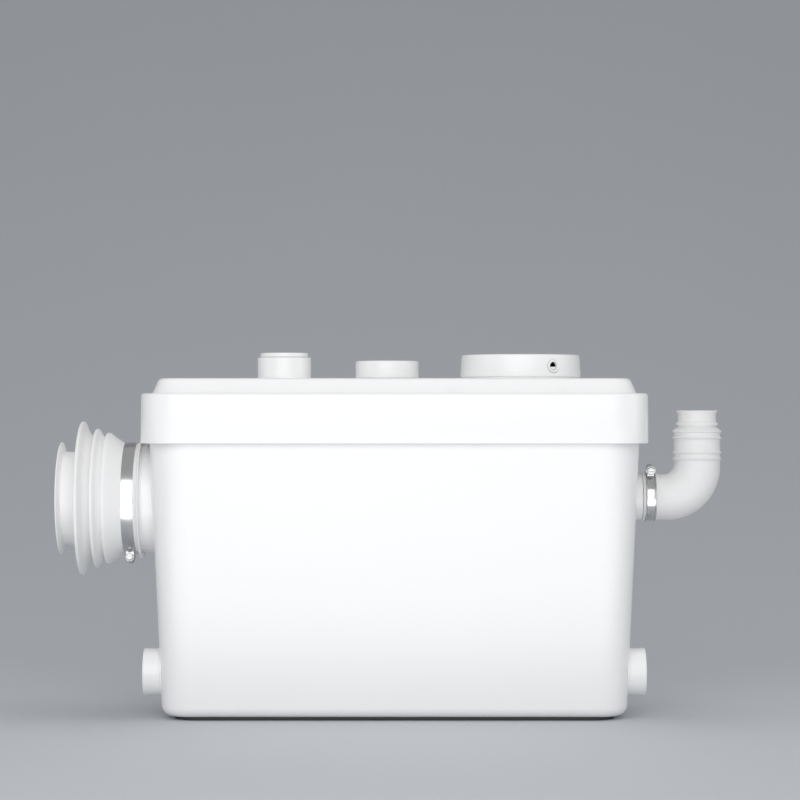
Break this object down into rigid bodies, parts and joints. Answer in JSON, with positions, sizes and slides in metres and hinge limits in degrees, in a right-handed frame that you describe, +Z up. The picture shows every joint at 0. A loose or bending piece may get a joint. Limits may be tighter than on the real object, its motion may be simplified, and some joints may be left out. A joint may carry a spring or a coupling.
{
  "type": "macerator toilet pump",
  "caption": "Boxed macerator pump with a bellows toilet inlet on the left, a turned-up discharge elbow on the right, low side inlets and three fittings on its lid.",
  "frame": {"origin": "centre of the base mat's underside, on the floor", "axes": "+X to the right seen from the front, +Y away from the viewer, +Z up"},
  "size_m": [0.6138, 0.2006, 0.3333],
  "materials": {
    "white_abs": "glossy",
    "white_rubber": "satin",
    "stainless": "bright",
    "black_rubber": "matte",
    "grey_rubber": "matte",
    "grey_plastic": "satin",
    "black_plastic": "satin",
    "carbon_foam": "open foam",
    "motor_steel": "laminated",
    "copper": "lacquered",
    "bearing_steel": "ground",
    "cage_brass": "stamped",
    "aluminium": "cast",
    "seal_face": "lapped"
  },
  "bodies": {
    "tank_unit": {"air_bell": "grey_plastic", "base_mat": "black_rubber", "bearing_outer_races": "bearing_steel", "capacitor": "aluminium", "check_valve_body": "grey_plastic", "diaphragm": "black_rubber", "discharge_flap_pin": "stainless", "inlet_chute": "grey_plastic", "inlet_flap_pins": "stainless", "lid": "white_abs", "lid_screws": "stainless", "lid_seal": "black_rubber", "microswitch": "black_plastic", "motor_can": "stainless", "motor_can_seal": "black_rubber", "motor_flange_screws": "stainless", "pump_tie_rods": "stainless", "riser_hose": "black_rubber", "shaft_seal_seat": "seal_face", "stator_core": "motor_steel", "stator_windings": "copper", "strainer_basket": "grey_plastic", "suction_plate": "grey_plastic", "switch_cover": "grey_plastic", "tank": "white_abs", "terminal_block": "black_plastic", "upper_bearing_bracket": "aluminium", "vent_filter": "carbon_foam", "volute": "grey_plastic", "wc_clamp_band": "stainless", "wc_clamp_housing": "stainless", "wc_connector": "white_rubber"},
    "elbow": {"discharge_elbow": "white_rubber", "discharge_clamp_band": "stainless", "discharge_clamp_housing": "stainless"},
    "discharge_screw": {"discharge_clamp_screw": "stainless"},
    "toilet_screw": {"wc_clamp_screw": "stainless"},
    "plug": {"inlet_plug": "white_abs", "inlet_plug_ring": "black_rubber"},
    "vent": {"vent_cap": "white_abs"},
    "cover": {"motor_cover": "white_abs", "cable_grommet": "white_rubber"},
    "valve_flap": {"discharge_flap": "grey_rubber"},
    "left_flap": {"left_inlet_flap": "grey_rubber"},
    "right_flap": {"right_inlet_flap": "grey_rubber"},
    "rotor": {"rotor_core": "motor_steel", "motor_shaft": "stainless", "bearing_inner_races": "bearing_steel", "shaft_seal_head": "seal_face", "cutter_blades": "stainless", "cutter_nut": "stainless", "impeller": "grey_plastic", "impeller_nut": "stainless"},
    "rolling": {"bearing_balls": "bearing_steel", "bearing_cages": "cage_brass"},
    "plunger": {"switch_plunger": "grey_plastic"},
    "button": {"microswitch_button": "grey_plastic"}
  },
  "joints": [
    {"name": "elbow_swivel", "type": "hinge", "parent": "tank_unit", "child": "elbow", "pos_m": [0.24, 0, 0.1995], "axis": [1, 0, 0], "range_deg": [-90, 90]},
    {"name": "discharge_screw_turn", "type": "hinge", "parent": "elbow", "child": "discharge_screw", "pos_m": [0.2371, -0.00462, 0.2257], "axis": [0, -0.9848, -0.1736], "continuous": true},
    {"name": "toilet_screw_turn", "type": "hinge", "parent": "tank_unit", "child": "toilet_screw", "pos_m": [-0.2444, -0.01176, 0.14309], "axis": [0, -0.9781, 0.2079], "continuous": true},
    {"name": "plug_lift", "type": "slide", "parent": "tank_unit", "child": "plug", "axis": [0, 0, 1], "range_m": [0, 0.04]},
    {"name": "vent_cap_lift", "type": "slide", "parent": "tank_unit", "child": "vent", "axis": [0, 0, 1], "range_m": [0, 0.04]},
    {"name": "motor_cover_lift", "type": "slide", "parent": "tank_unit", "child": "cover", "axis": [0, 0, 1], "range_m": [0, 0.05]},
    {"name": "valve_flap_hinge", "type": "hinge", "parent": "tank_unit", "child": "valve_flap", "pos_m": [0.1795, 0, 0.1647], "axis": [0, -1, 0], "range_deg": [0, 60]},
    {"name": "left_flap_hinge", "type": "hinge", "parent": "tank_unit", "child": "left_flap", "pos_m": [-0.20245, -0.04, 0.0645], "axis": [0, -1, 0], "range_deg": [0, 60]},
    {"name": "right_flap_hinge", "type": "hinge", "parent": "tank_unit", "child": "right_flap", "pos_m": [0.20245, -0.04, 0.0645], "axis": [0, 1, 0], "range_deg": [0, 60]},
    {"name": "rotor_spin", "type": "hinge", "parent": "tank_unit", "child": "rotor", "pos_m": [0.117, 0, 0.14], "axis": [0, 0, 1], "continuous": true},
    {"name": "bearing_roll", "type": "hinge", "parent": "tank_unit", "child": "rolling", "pos_m": [0.117, 0, 0.14], "axis": [0, 0, 1], "continuous": true},
    {"name": "plunger_slide", "type": "slide", "parent": "tank_unit", "child": "plunger", "axis": [0, 0, 1], "range_m": [0, 0.002], "stiffness_N_per_m": 200},
    {"name": "button_slide", "type": "slide", "parent": "tank_unit", "child": "button", "axis": [0, 0, 1], "range_m": [0, 0.002]}
  ],
  "couplings": [
    {"joint": "bearing_roll", "follows": "rotor_spin", "ratio": 0.396},
    {"joint": "button_slide", "follows": "plunger_slide", "ratio": 1}
  ]
}
